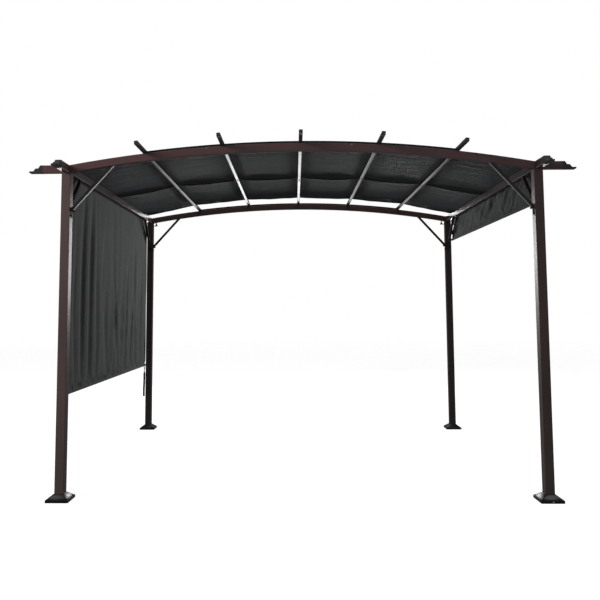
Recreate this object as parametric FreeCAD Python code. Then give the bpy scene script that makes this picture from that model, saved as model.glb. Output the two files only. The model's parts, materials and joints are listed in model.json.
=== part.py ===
import FreeCAD
import Part
import math
import os

# A free-standing arched steel pergola with a sliding fabric canopy.
# Millimetres, +Z up.  The origin is on the ground at the centre of the four posts,
# +X runs along the arches and +Y runs along the rafters, from front to back.

# Overall layout
post_spacing_x = 3150.0
post_spacing_y = 2540.0
beam_overhang = 255.0
clear_height = 2150.0
arch_rise = 139.0

# Posts with welded base plates
post_width = 60.0
post_corner_radius = 3.0
base_plate_width = 140.0
base_plate_thickness = 6.0
anchor_spacing = 104.0
anchor_hole_radius = 5.5

# Covers that drop over the base plates
cover_width = 150.0
cover_skirt_height = 19.0
cover_top_height = 46.0
cover_wall = 3.0
cover_edge_chamfer = 3.0
cover_post_gap = 0.5

# Beams
beam_width = 40.0
beam_height = 52.0
beam_corner_radius = 3.0
arch_tube_height = 52.0
arch_edge_chamfer = 2.0
arch_strip_height = 14.0
arch_strip_width = 30.0

# Stepped end caps: a rounded nose, then two ramps up to the beam's full height
cap_length = 92.0
cap_nose_height = 12.0
cap_nose_radius = 5.0
cap_nose_flat = 28.0
cap_ramp_run = 15.0
cap_middle_height = 31.0
cap_middle_flat = 17.0
cap_step_radius = 6.0

# Rafters, each in two halves that meet near the middle, with a plug in each outer end
rafter_joints = (46.0, -124.0, -31.0, -141.0, -48.0)
rafter_width = 25.0
rafter_height = 25.0
rafter_corner_radius = 4.0
rafter_plug_depth = 3.0
strip_gap = 0.5

# Diagonal braces with bolting tabs
brace_width = 20.0
brace_depth = 20.0
brace_corner_radius = 1.5
brace_foot_drop = 269.0
brace_angle = 48.0
brace_tab_thickness = 3.0
brace_tab_width = 30.0
brace_tab_below = 34.0
brace_tab_above = 6.0

# Canopy fabric and its hem rods
fabric_width = 2300.0
fabric_thickness = 3.0
fabric_lift = 1.0
fabric_slide = -54.0
fabric_side_gap = 3.0
curtain_bottom = 655.0
valance_bottom = 1936.0
rod_diameter = 18.0
rod_overhang = 35.0
strap_width = 20.0
strap_thickness = 3.0
strap_length = 310.0
strap_inset = 15.0

# Sizes that follow from those above
half_x = post_spacing_x / 2
half_y = post_spacing_y / 2
half_post = post_width / 2
half_beam = beam_width / 2
reach_x = half_x + beam_overhang
reach_y = half_y + beam_overhang
beam_top = clear_height + beam_height
rafter_count = len(rafter_joints)
rafter_end = reach_y - rafter_plug_depth
arch_half_span = half_x - half_beam
arch_radius = (arch_half_span ** 2 + arch_rise ** 2) / (2 * arch_rise)
arch_centre_z = clear_height + arch_rise - arch_radius
rafter_seat_radius = arch_radius + arch_tube_height
rafter_pitch = post_spacing_x / (rafter_count + 1)

CORNERS = {
    "front_left": (-1, -1),
    "front_right": (1, -1),
    "back_left": (-1, 1),
    "back_right": (1, 1),
}


def vector(x, y, z):
    return FreeCAD.Vector(x, y, z)


def box(x0, x1, y0, y1, z0, z1):
    return Part.makeBox(x1 - x0, y1 - y0, z1 - z0, vector(x0, y0, z0))


def prism_xz(points, y0, y1):
    """A straight prism along Y on an outline given as (x, z) points."""
    wire = Part.makePolygon([vector(x, y0, z) for x, z in points + points[:1]])
    return Part.Face(wire).extrude(vector(0, y1 - y0, 0))


def rounded_wire(points, radii, y):
    """A closed outline of (x, z) points in the plane at y, with the corners of radius > 0 rounded."""
    corners = [vector(x, y, z) for x, z in points]
    edges = []
    entries = []
    for index, radius in enumerate(radii):
        here = corners[index]
        to_last = (corners[index - 1] - here).normalize()
        to_next = (corners[(index + 1) % len(corners)] - here).normalize()
        if radius == 0:
            entries.append((here, None, here))
            continue
        half_turn = to_last.getAngle(to_next) / 2
        reach = radius / math.tan(half_turn)
        centre = here + (to_last + to_next).normalize() * (radius / math.sin(half_turn))
        middle = centre + (here - centre).normalize() * radius
        entries.append((here + to_last * reach, middle, here + to_next * reach))
    for index, (start, middle, end) in enumerate(entries):
        if middle is not None:
            edges.append(Part.Arc(start, middle, end).toShape())
        edges.append(Part.LineSegment(end, entries[(index + 1) % len(entries)][0]).toShape())
    return Part.Wire(edges)


def tube_bar(width, height, length, radius):
    """A bar along +X with rounded long edges, centred in Y, with its underside at z = 0."""
    half = width / 2
    points = [(-half, 0), (half, 0), (half, height), (-half, height)]
    section = rounded_wire(points, [radius] * len(points), 0)
    section.rotate(vector(0, 0, 0), vector(0, 0, 1), 90)
    return Part.Face(section).extrude(vector(length, 0, 0))


def square_wire(width, z):
    half = width / 2
    corners = [(-half, -half), (half, -half), (half, half), (-half, half), (-half, -half)]
    return Part.makePolygon([vector(x, y, z) for x, y in corners])


def tapered_block(width_low, z_low, width_high, z_high):
    return Part.makeLoft([square_wire(width_low, z_low), square_wire(width_high, z_high)], True, True)


def arch_angle(x, radius):
    """Angle from the vertical of the point on an arc of this radius at this x."""
    return math.asin(x / radius)


def arc_point(radius, angle, y):
    return vector(radius * math.sin(angle), y, arch_centre_z + radius * math.cos(angle))


def arch_band(radius_low, radius_high, low_angles, high_angles, y0, y1):
    """A curved bar between two arcs about the arch centre."""
    low = [arc_point(radius_low, a, y0) for a in low_angles]
    high = [arc_point(radius_high, a, y0) for a in high_angles]
    low_mid = arc_point(radius_low, sum(low_angles) / 2, y0)
    high_mid = arc_point(radius_high, sum(high_angles) / 2, y0)
    edges = [
        Part.Arc(low[0], low_mid, low[1]).toShape(),
        Part.LineSegment(low[1], high[1]).toShape(),
        Part.Arc(high[1], high_mid, high[0]).toShape(),
        Part.LineSegment(high[0], low[0]).toShape(),
    ]
    return Part.Face(Part.Wire(edges)).extrude(vector(0, y1 - y0, 0))


def place(shape, x, y):
    moved = shape.copy()
    moved.translate(vector(x, y, 0))
    return moved


def make_post(x, y):
    """A square tube post with its base plate, standing on the ground."""
    plate_half = base_plate_width / 2
    post = tube_bar(post_width, post_width, clear_height, post_corner_radius)
    post.rotate(vector(0, 0, 0), vector(0, 1, 0), -90)
    post.translate(vector(half_post, 0, 0))
    plate = box(-plate_half, plate_half, -plate_half, plate_half, 0, base_plate_thickness)
    for sx in (-1, 1):
        for sy in (-1, 1):
            centre = vector(sx * anchor_spacing / 2, sy * anchor_spacing / 2, 0)
            plate = plate.cut(Part.makeCylinder(anchor_hole_radius, base_plate_thickness, centre))
    return place(post.fuse(plate).removeSplitter(), x, y)


def make_cover(x, y):
    """A hollow stepped cover that slides down the post and hides the base plate."""
    collar = post_width + 2 * cover_post_gap
    slope_base = cover_width - 2 * cover_edge_chamfer
    skirt_top = cover_skirt_height - cover_edge_chamfer
    outside = tapered_block(cover_width, 0, cover_width, skirt_top)
    outside = outside.fuse(tapered_block(cover_width, skirt_top, slope_base, cover_skirt_height))
    slope_top = collar + 2 * cover_wall
    outside = outside.fuse(tapered_block(slope_base, cover_skirt_height, slope_top, cover_top_height))
    inner_width = cover_width - 2 * cover_wall
    inner_low = cover_skirt_height - cover_wall
    inside = tapered_block(inner_width, 0, inner_width, inner_low)
    inside = inside.fuse(tapered_block(inner_width, inner_low, collar, cover_top_height - cover_wall))
    bore = tapered_block(collar, 0, collar, cover_top_height)
    return place(outside.cut(inside).cut(bore).removeSplitter(), x, y)


def make_arch_beam(y):
    """The curved beam that spans between the side beams, with its long edges broken."""
    low = arch_angle(arch_half_span, arch_radius)
    high = arch_angle(arch_half_span, rafter_seat_radius)
    y0 = y - half_beam
    y1 = y + half_beam
    band = arch_band(arch_radius, rafter_seat_radius, (-low, low), (-high, high), y0, y1)
    long_edges = [edge for edge in band.Edges if edge.Length > arch_half_span]
    return band.makeChamfer(arch_edge_chamfer, long_edges)


def make_beam_end(sx, y):
    """The short level beam outside a post, up to its end cap."""
    near = half_x + half_beam
    far = reach_x - cap_length
    bar = tube_bar(beam_width, beam_height, far - near, beam_corner_radius)
    bar.translate(vector(near if sx > 0 else -far, y, clear_height))
    return bar


def make_side_beam(x):
    """The level beam over two posts, between its end caps."""
    half_length = reach_y - cap_length
    bar = tube_bar(beam_width, beam_height, 2 * half_length, beam_corner_radius)
    bar.rotate(vector(0, 0, 0), vector(0, 0, 1), 90)
    bar.translate(vector(x, -half_length, clear_height))
    return bar


def cap_wire(y):
    """Outline of a stepped cap, with x = 0 at its joint with the beam and its nose at cap_length."""
    nose_back = cap_length - cap_nose_flat
    middle_front = nose_back - cap_ramp_run
    middle_back = middle_front - cap_middle_flat
    top_front = middle_back - cap_ramp_run
    outline = [
        (0, 0, 0),
        (cap_length, 0, cap_nose_radius),
        (cap_length, cap_nose_height, cap_nose_radius),
        (nose_back, cap_nose_height, 0),
        (middle_front, cap_middle_height, cap_step_radius),
        (middle_back, cap_middle_height, 0),
        (top_front, beam_height, cap_step_radius),
        (0, beam_height, 0),
    ]
    points = [(x, clear_height + z) for x, z, radius in outline]
    return rounded_wire(points, [radius for x, z, radius in outline], y)


def make_cap(direction, x, y):
    """A stepped end cap that points along direction from the end of a beam."""
    cap = Part.Face(cap_wire(-half_beam)).extrude(vector(0, beam_width, 0))
    turn = {"+x": 0, "+y": 90, "-x": 180, "-y": 270}[direction]
    cap.rotate(vector(0, 0, 0), vector(0, 0, 1), turn)
    return place(cap, x, y)


def make_end_caps(sy):
    """The four caps of the front or the back: two on the arch line, two on the side beams."""
    caps = []
    for sx in (-1, 1):
        along_x = "+x" if sx > 0 else "-x"
        along_y = "+y" if sy > 0 else "-y"
        caps.append(make_cap(along_x, sx * (reach_x - cap_length), sy * half_y))
        caps.append(make_cap(along_y, sx * half_x, sy * (reach_y - cap_length)))
    return Part.makeCompound(caps)


def rafter_angle(number):
    """Tilt of a rafter, numbered from 1 at the left."""
    return arch_angle((number - (rafter_count + 1) / 2) * rafter_pitch, rafter_seat_radius)


def make_rafter(number, y0, y1):
    """Half of a square rafter, sitting on the arches and tilted with them."""
    bar = tube_bar(rafter_width, rafter_height, y1 - y0, rafter_corner_radius)
    bar.rotate(vector(0, 0, 0), vector(0, 0, 1), 90)
    bar.translate(vector(0, y0, 0))
    angle = rafter_angle(number)
    bar.rotate(vector(0, 0, 0), vector(0, 1, 0), math.degrees(angle))
    seat = arc_point(rafter_seat_radius, angle, 0)
    bar.translate(seat)
    return bar


def make_arch_strip(y):
    """Curved filler strips on top of an arch, one between each pair of rafters."""
    pieces = []
    strip_radius = rafter_seat_radius + arch_strip_height
    margin = (rafter_width / 2 + strip_gap) / rafter_seat_radius
    for number in range(1, rafter_count):
        start = rafter_angle(number) + margin
        end = rafter_angle(number + 1) - margin
        y0 = y - arch_strip_width / 2
        y1 = y + arch_strip_width / 2
        pieces.append(arch_band(rafter_seat_radius, strip_radius, (start, end), (start, end), y0, y1))
    return Part.makeCompound(pieces)


def brace_blank():
    """A brace in the XZ plane with its tab on a post face at x = 0, too long at its top end."""
    tilt = math.radians(brace_angle)
    foot_z = clear_height - brace_foot_drop
    thickness_z = brace_width / math.cos(tilt)
    length = 2 * (brace_foot_drop + arch_rise)
    bar = tube_bar(brace_depth, brace_width, length, brace_corner_radius)
    bar.translate(vector(-brace_width, 0, 0))
    bar.rotate(vector(0, 0, 0), vector(0, 1, 0), -brace_angle)
    bar.translate(vector(0, 0, foot_z))
    bar = bar.common(box(0, length, -brace_depth, brace_depth, 0, 2 * clear_height))
    tab_low = foot_z - brace_tab_below
    tab_high = foot_z + thickness_z + brace_tab_above
    tab_half = brace_tab_width / 2
    tab = box(0, brace_tab_thickness, -tab_half, tab_half, tab_low, tab_high)
    return bar.fuse(tab).removeSplitter()


def make_arch_brace(sx, sy):
    """The brace from a post to the arch beam, in the plane of the arch."""
    brace = brace_blank()
    if sx > 0:
        brace.rotate(vector(0, 0, 0), vector(0, 0, 1), 180)
    brace = place(brace, sx * (half_x - half_post), sy * half_y)
    return brace.common(place(block_under_arch(), 0, sy * half_y))


def block_under_arch():
    """Everything under the arch's lower face, as a block to trim braces with."""
    wide = brace_tab_width
    angle = arch_angle(half_x, arch_radius)
    left = arc_point(arch_radius, -angle, -wide)
    right = arc_point(arch_radius, angle, -wide)
    crown = arc_point(arch_radius, 0, -wide)
    floor_left = vector(left.x, -wide, 0)
    floor_right = vector(right.x, -wide, 0)
    edges = [
        Part.Arc(left, crown, right).toShape(),
        Part.LineSegment(right, floor_right).toShape(),
        Part.LineSegment(floor_right, floor_left).toShape(),
        Part.LineSegment(floor_left, left).toShape(),
    ]
    return Part.Face(Part.Wire(edges)).extrude(vector(0, 2 * wide, 0))


def make_side_brace(sx, sy):
    """The brace from a post to the side beam, in the plane of the side."""
    brace = brace_blank()
    brace.rotate(vector(0, 0, 0), vector(0, 0, 1), -90 * sy)
    brace = place(brace, sx * half_x, sy * (half_y - half_post))
    wide = post_spacing_x
    deep = post_spacing_y
    return brace.common(box(-wide, wide, -deep, deep, 0, clear_height))


def canopy_knots():
    """(x, z) of the fabric's underside where it passes over a side beam or a rafter."""
    outer = half_x + half_beam + fabric_side_gap
    knots = [(-outer, beam_top + fabric_lift)]
    for number in range(1, rafter_count + 1):
        top = arc_point(rafter_seat_radius + rafter_height + fabric_lift, rafter_angle(number), 0)
        knots.append((top.x, top.z))
    knots.append((outer, beam_top + fabric_lift))
    return knots


def edge_drop():
    """How much the fabric falls across its own thickness outside a side beam."""
    (x0, z0), (x1, z1) = canopy_knots()[:2]
    return fabric_thickness * (z1 - z0) / (x1 - x0)


def make_canopy_roof():
    """The fabric over the rafters, from the outside of one side beam to the other."""
    knots = canopy_knots()
    left_x, left_z = knots[0]
    drop = edge_drop()
    under = [(left_x - fabric_thickness, left_z - drop)]
    under += knots
    under += [(-left_x + fabric_thickness, left_z - drop)]
    over = [(x, z + fabric_thickness) for x, z in reversed(under)]
    half = fabric_width / 2
    return prism_xz(under + over, fabric_slide - half, fabric_slide + half)


def make_drop(sx, bottom):
    """The hanging part of the fabric outside a side beam, down to its hem rod."""
    inner_x, top_z = canopy_knots()[-1]
    outer_x = inner_x + fabric_thickness
    outline = [
        (sx * inner_x, bottom + rod_diameter),
        (sx * outer_x, bottom + rod_diameter),
        (sx * outer_x, top_z - edge_drop()),
        (sx * inner_x, top_z),
    ]
    half = fabric_width / 2
    return prism_xz(outline, -half, half)


def rod_centre_x(sx):
    return sx * (canopy_knots()[-1][0] + fabric_thickness / 2)


def make_hem_rod(sx, bottom):
    """The weight rod in the bottom hem of a hanging part."""
    half = fabric_width / 2 + rod_overhang
    centre = vector(rod_centre_x(sx), -half, bottom + rod_diameter / 2)
    return Part.makeCylinder(rod_diameter / 2, 2 * half, centre, vector(0, 1, 0))


def make_pull_straps():
    """Webbing down both edges of the left curtain, from the side beam past the ends of the hem rod."""
    straps = []
    x = rod_centre_x(-1)
    rod_end = fabric_width / 2 + rod_overhang
    for sy in (-1, 1):
        y_middle = sy * (rod_end - strap_inset - strap_width / 2)
        y0 = y_middle - strap_width / 2
        y1 = y_middle + strap_width / 2
        x0 = x - strap_thickness / 2
        x1 = x + strap_thickness / 2
        straps.append(box(x0, x1, y0, y1, curtain_bottom - strap_length, curtain_bottom))
        straps.append(box(x0, x1, y0, y1, curtain_bottom + rod_diameter, clear_height))
    return Part.makeCompound(straps)


def build_nodes():
    nodes = {}
    for name, (sx, sy) in CORNERS.items():
        nodes["post_" + name] = make_post(sx * half_x, sy * half_y)
        nodes["foot_cover_" + name] = make_cover(sx * half_x, sy * half_y)
        nodes["beam_end_" + name] = make_beam_end(sx, sy * half_y)
        nodes["arch_brace_" + name] = make_arch_brace(sx, sy)
        nodes["side_brace_" + name] = make_side_brace(sx, sy)
    for side, sx in (("left", -1), ("right", 1)):
        nodes["side_beam_" + side] = make_side_beam(sx * half_x)
    for end, sy in (("front", -1), ("back", 1)):
        nodes["arch_beam_" + end] = make_arch_beam(sy * half_y)
        nodes["arch_strip_" + end] = make_arch_strip(sy * half_y)
        nodes["end_caps_" + end] = make_end_caps(sy)
        for number, joint in enumerate(rafter_joints, 1):
            y0, y1 = sorted((joint, sy * rafter_end))
            nodes["rafter_%d_%s" % (number, end)] = make_rafter(number, y0, y1)
    nodes["canopy_roof"] = make_canopy_roof()
    nodes["curtain_left"] = make_drop(-1, curtain_bottom)
    nodes["valance_right"] = make_drop(1, valance_bottom)
    nodes["hem_rod_left"] = make_hem_rod(-1, curtain_bottom)
    nodes["hem_rod_right"] = make_hem_rod(1, valance_bottom)
    nodes["pull_straps"] = make_pull_straps()
    return nodes


def export_nodes():
    os.makedirs("parts", exist_ok=True)
    for name, shape in build_nodes().items():
        shape.exportStep("parts/" + name + ".step")


export_nodes()
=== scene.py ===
import json
import math
import random

import bmesh
import bpy
from bpy.props import FloatProperty, FloatVectorProperty, IntProperty, PointerProperty
from mathutils import Matrix, Vector, noise

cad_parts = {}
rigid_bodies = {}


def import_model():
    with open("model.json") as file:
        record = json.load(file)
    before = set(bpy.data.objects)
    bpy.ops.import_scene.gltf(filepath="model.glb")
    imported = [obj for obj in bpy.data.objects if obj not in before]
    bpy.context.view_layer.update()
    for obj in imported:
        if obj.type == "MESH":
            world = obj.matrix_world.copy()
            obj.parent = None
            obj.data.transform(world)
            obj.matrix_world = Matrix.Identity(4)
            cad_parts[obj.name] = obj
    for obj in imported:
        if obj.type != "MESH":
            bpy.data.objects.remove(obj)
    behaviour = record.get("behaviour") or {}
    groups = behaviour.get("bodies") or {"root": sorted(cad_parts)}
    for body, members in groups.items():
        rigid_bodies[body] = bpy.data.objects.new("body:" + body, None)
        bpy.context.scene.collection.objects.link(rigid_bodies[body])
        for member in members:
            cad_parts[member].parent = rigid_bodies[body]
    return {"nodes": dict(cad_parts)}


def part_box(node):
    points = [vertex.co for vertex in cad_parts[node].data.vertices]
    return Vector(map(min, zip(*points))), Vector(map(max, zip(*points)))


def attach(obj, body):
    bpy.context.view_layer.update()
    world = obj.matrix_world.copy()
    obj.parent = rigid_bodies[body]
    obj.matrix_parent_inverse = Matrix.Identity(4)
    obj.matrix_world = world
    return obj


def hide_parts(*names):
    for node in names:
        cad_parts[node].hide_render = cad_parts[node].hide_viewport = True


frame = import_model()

bl_info = {
    "name": "Arched Pergola",
    "version": (1, 0, 0),
    "blender": (4, 5, 0),
    "location": "View3D > Sidebar > Pergola",
    "description": "Dresses a steel pergola frame with its sliding canopy, hardware and finishes",
    "category": "Add Mesh",
}

BODY = "root"
CORNERS = ("front_left", "front_right", "back_left", "back_right")
ENDS = ("front", "back")
SIDES = ("left", "right")


# ---------------------------------------------------------------- frame sizes


class FrameSizes:
    """Places on the steel frame, in metres, worked out from the loaded nodes."""

    def __init__(self):
        self.posts = {corner: middle(*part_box("post_" + corner)) for corner in CORNERS}
        self.post_x = self.posts["front_right"].x
        self.post_y = self.posts["back_right"].y
        low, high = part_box("post_front_right")
        self.post_top = high.z
        low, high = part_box("side_beam_right")
        self.beam_half = (high.x - low.x) / 2
        self.beam_top = high.z
        low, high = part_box("arch_beam_front")
        self.half_span = high.x
        low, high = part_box("rafter_3_back")
        self.rafter_half = (high.x - low.x) / 2
        self.rafter_height = high.z - low.z
        self.rafter_end = high.y
        self.reach_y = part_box("end_caps_back")[1].y
        self.seat_crown = low.z
        rise = bpy.context.scene.pergola_sizes.arch_rise
        tube = self.seat_crown - self.post_top - rise
        self.seat_radius = (self.half_span**2 + rise**2) / (2 * rise) + tube
        self.centre_z = self.seat_crown - self.seat_radius
        self.pitch = 2 * self.post_x / 6
        low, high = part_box("hem_rod_left")
        self.rod_radius = (high.x - low.x) / 2
        self.rod_x = abs(low.x + high.x) / 2

    def rafter_angle(self, number):
        """Lean of a rafter, numbered 1 to 5 from the left."""
        return math.asin((number - 3) * self.pitch / self.seat_radius)

    def on_arch(self, radius, angle, y=0.0):
        return Vector((radius * math.sin(angle), y, self.centre_z + radius * math.cos(angle)))


def middle(low, high):
    return (low + high) / 2


def linked(name, data):
    """A new object for a mesh, lamp or camera, linked to the scene."""
    item = bpy.data.objects.new(name, data)
    bpy.context.scene.collection.objects.link(item)
    return item


# ---------------------------------------------------------------- node helpers


class Wire:
    """A node's output socket; sums and products of wires add Math nodes."""

    def __init__(self, net, socket):
        self.net = net
        self.socket = socket

    def out(self, name):
        return Wire(self.net, self.socket.node.outputs[name])

    def maths(self, operation, first, second):
        return self.net.add("Math", {"operation": operation}, {0: first, 1: second})

    def __add__(self, other):
        return self.maths("ADD", self, other)

    def __mul__(self, other):
        return self.maths("MULTIPLY", self, other)


class Net:
    """Adds nodes to one tree, for a material, the surroundings or Geometry Nodes."""

    def __init__(self, tree, prefix="ShaderNode"):
        self.tree = tree
        self.prefix = prefix

    def add(self, kind, settings=None, inputs=None, out=0):
        """Adds a node: its settings first, then the value or wire of each input socket."""
        named = kind.startswith(("NodeGroup", "Function", "Shader"))
        name = kind if named else self.prefix + kind
        node = self.tree.nodes.new(name)
        for key, value in (settings or {}).items():
            setattr(node, key, value)
        for key, value in (inputs or {}).items():
            self.plug(value, node.inputs[key])
        return Wire(self, node.outputs[out]) if node.outputs else node

    def plug(self, value, socket):
        if isinstance(value, Wire):
            self.tree.links.new(value.socket, socket)
        else:
            socket.default_value = value


def tint(colour, factor):
    """A colour made lighter or darker, with its alpha."""
    return tuple(min(1.0, part * factor) for part in colour[:3]) + (1.0,)


def blend_colours(net, factor, low, high):
    return net.add("Mix", {"data_type": "RGBA"}, {"Factor": factor, 6: low, 7: high}, out=2)


# ---------------------------------------------------------------- finishes


def new_material(name):
    """A material with its own net and a Principled shader to finish."""
    material = bpy.data.materials.new(name)
    material.use_nodes = True
    material.node_tree.nodes.clear()
    net = Net(material.node_tree)
    return material, net


def close_material(net, settings, colour, roughness, normal, metallic=0.0):
    inputs = {"Base Color": colour, "Roughness": roughness, "Metallic": metallic}
    inputs.update(settings)
    if normal is not None:
        inputs["Normal"] = normal
    shader = net.add("BsdfPrincipled", {}, inputs)
    net.add("OutputMaterial", {}, {"Surface": shader})


def object_place(net):
    return net.add("TexCoord", {}, {}, out="Object")


def noise_level(net, place, scale, detail=3.0, roughness=0.5, stretch=None):
    """Noise from 0 to 1 over a place, its features a given number to the metre."""
    if stretch is not None:
        place = net.add("VectorMath", {"operation": "MULTIPLY"}, {0: place, 1: stretch})
    return net.add(
        "TexNoise", {}, {"Vector": place, "Scale": scale, "Detail": detail, "Roughness": roughness}
    )


def between(net, level, low, high, new_low, new_high):
    """A level carried from one range into another, and held there."""
    return net.add(
        "MapRange",
        {"clamp": True},
        {"Value": level, 1: low, 2: high, 3: new_low, 4: new_high},
    )


def bump(net, height, distance, strength=1.0, normal=None):
    inputs = {"Height": height, "Distance": distance, "Strength": strength}
    if normal is not None:
        inputs["Normal"] = normal
    return net.add("Bump", {}, inputs)


def powder_coat(name, colour, gloss, rub):
    """Baked paint on steel: a fine orange peel, faint cloudiness and small rubbed spots."""
    material, net = new_material(name)
    place = object_place(net)
    cloud = noise_level(net, place, 2.3, 4.0)
    streak = noise_level(net, place, 9.0, 3.0, 0.55, (1.0, 1.0, 0.18))
    speck = noise_level(net, place, 140.0, 2.0)
    peel = noise_level(net, place, 420.0, 2.0)
    grain = noise_level(net, place, 1500.0, 1.0)
    scuff = noise_level(net, place, 26.0, 6.0, 0.7)
    tone = between(net, cloud * 0.6 + streak * 0.4, 0.32, 0.68, 0.0, 1.0)
    base = blend_colours(net, tone, tint(colour, 0.86), tint(colour, 1.14))
    rubbed = between(net, scuff * 0.7 + speck * 0.3, 0.66, 0.74, 0.0, rub)
    base = blend_colours(net, rubbed, base, tint(colour, 2.0))
    height = net.add("SeparateXYZ", {}, {0: place}, out=2)
    dust = between(net, height, 0.0, 0.35, 0.35, 0.0) * streak
    base = blend_colours(net, dust, base, (0.09, 0.085, 0.078, 1.0))
    rough = between(net, cloud + speck * 0.5, 0.4, 1.1, gloss - 0.05, gloss + 0.07) + dust * 0.3
    normal = bump(net, peel * 0.8 + grain * 0.2, 0.0002, 0.6)
    close_material(net, {"IOR": 1.5}, base, rough, normal)
    return material


def moulded_plastic(name, colour, gloss, texture):
    """Injection-moulded plastic: a fine texture, flow marks and hairline scratches."""
    material, net = new_material(name)
    place = object_place(net)
    cloud = noise_level(net, place, 6.0, 3.0)
    pores = noise_level(net, place, 900.0, 2.0)
    hairs = noise_level(net, place, 30.0, 5.0, 0.7, (1.0, 14.0, 3.0))
    scratch = between(net, hairs, 0.62, 0.68, 0.0, 0.5)
    base = blend_colours(net, cloud, tint(colour, 0.8), tint(colour, 1.25))
    base = blend_colours(net, scratch * 0.4, base, tint(colour, 2.4))
    rough = between(net, cloud, 0.3, 0.7, gloss - 0.03, gloss + 0.06) + scratch * 0.12
    normal = bump(net, pores, texture, 0.8)
    close_material(net, {"IOR": 1.5}, base, rough, normal)
    return material


def rubber_strip(name, colour):
    """Matt extruded rubber with fine lengthwise lines and chalky patches."""
    material, net = new_material(name)
    place = object_place(net)
    lines = noise_level(net, place, 60.0, 2.0, 0.5, (0.05, 6.0, 6.0))
    chalk = noise_level(net, place, 7.0, 5.0, 0.65)
    bloom = between(net, chalk, 0.5, 0.75, 0.0, 0.35)
    base = blend_colours(net, bloom, tint(colour, 1.0), tint(colour, 2.6))
    rough = between(net, chalk, 0.3, 0.7, 0.55, 0.75)
    close_material(net, {"IOR": 1.45}, base, rough, bump(net, lines, 0.0004, 0.7))
    return material


def bare_metal(name, colour, gloss, brushed):
    """Plated or blackened steel for screws and bolts."""
    material, net = new_material(name)
    place = object_place(net)
    cloud = noise_level(net, place, 160.0, 4.0, 0.6)
    fine = noise_level(net, place, 1200.0, 2.0)
    base = blend_colours(net, cloud, tint(colour, 0.75), tint(colour, 1.2))
    rough = between(net, cloud, 0.25, 0.75, gloss - 0.06, gloss + 0.1)
    normal = bump(net, fine * 0.5 + cloud * 0.5, brushed, 0.5)
    close_material(net, {}, base, rough, normal, metallic=1.0)
    return material


def woven_cloth(name, colour, threads, thickness):
    """Plain-woven polyester: crossing threads, slubs, a soft bloom and faint dust."""
    material, net = new_material(name)
    place = net.add("UVMap", {"uv_map": "cloth"}, {})
    across = net.add("SeparateXYZ", {}, {0: place})
    along = across.out("Y")
    turns = 2 * math.pi * threads
    wave_x = net.add("Math", {"operation": "SINE"}, {0: across * turns})
    wave_y = net.add("Math", {"operation": "SINE"}, {0: along * turns})
    weave = wave_x * wave_y * 0.5 + 0.5
    slub_x = noise_level(net, place, 1.0, 2.0, 0.5, (threads * 0.7, 9.0, 1.0))
    slub_y = noise_level(net, place, 1.0, 2.0, 0.5, (9.0, threads * 0.7, 1.0))
    cloud = noise_level(net, place, 3.1, 4.0, 0.6)
    dust = noise_level(net, place, 14.0, 6.0, 0.65)
    crease = noise_level(net, place, 1.0, 5.0, 0.6, (60.0, 9.0, 1.0))
    tone = between(net, cloud * 0.5 + slub_x * 0.25 + slub_y * 0.25, 0.35, 0.65, 0.0, 1.0)
    base = blend_colours(net, tone, tint(colour, 0.84), tint(colour, 1.16))
    base = blend_colours(net, weave * 0.28, base, tint(colour, 1.5))
    settled = between(net, dust, 0.55, 0.8, 0.0, 0.12)
    base = blend_colours(net, settled, base, (0.2, 0.19, 0.17, 1.0))
    rough = between(net, slub_x + slub_y, 0.7, 1.3, 0.78, 0.92)
    fabric = bump(net, weave * 0.6 + slub_x * 0.4 + slub_y * 0.4, thickness, 0.7)
    normal = bump(net, crease, 0.004, 0.35, fabric)
    settings = {
        "Specular IOR Level": 0.18,
        "Sheen Weight": 0.06,
        "Sheen Roughness": 0.5,
        "Sheen Tint": (0.7, 0.75, 0.8, 1.0),
    }
    close_material(net, settings, base, rough, normal)
    return material


def ribbed_webbing(name, colour):
    """Narrow woven webbing: ribs across it and two edge cords along it."""
    material, net = new_material(name)
    place = net.add("UVMap", {"uv_map": "cloth"}, {})
    across = net.add("SeparateXYZ", {}, {0: place})
    along = across.out("Y")
    ribs = net.add("Math", {"operation": "SINE"}, {0: along * (2 * math.pi * 620.0)})
    cords = net.add("Math", {"operation": "SINE"}, {0: across * (2 * math.pi * 330.0)})
    weave = ribs * cords * 0.5 + 0.5
    fuzz = noise_level(net, place, 260.0, 4.0, 0.6)
    base = blend_colours(net, weave * 0.6 + fuzz * 0.4, tint(colour, 0.7), tint(colour, 1.5))
    rough = between(net, fuzz, 0.3, 0.7, 0.7, 0.9)
    normal = bump(net, weave * 0.8 + fuzz * 0.2, 0.0005, 0.9)
    close_material(net, {"Specular IOR Level": 0.3}, base, rough, normal)
    return material


def sewing_thread(name, colour):
    material, net = new_material(name)
    place = object_place(net)
    twist = noise_level(net, place, 900.0, 2.0, 0.5, (1.0, 1.0, 0.3))
    base = blend_colours(net, twist, tint(colour, 0.7), tint(colour, 1.4))
    rough = between(net, twist, 0.3, 0.7, 0.55, 0.75)
    close_material(net, {}, base, rough, bump(net, twist, 0.0002, 0.6))
    return material


FINISHES = {}


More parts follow.
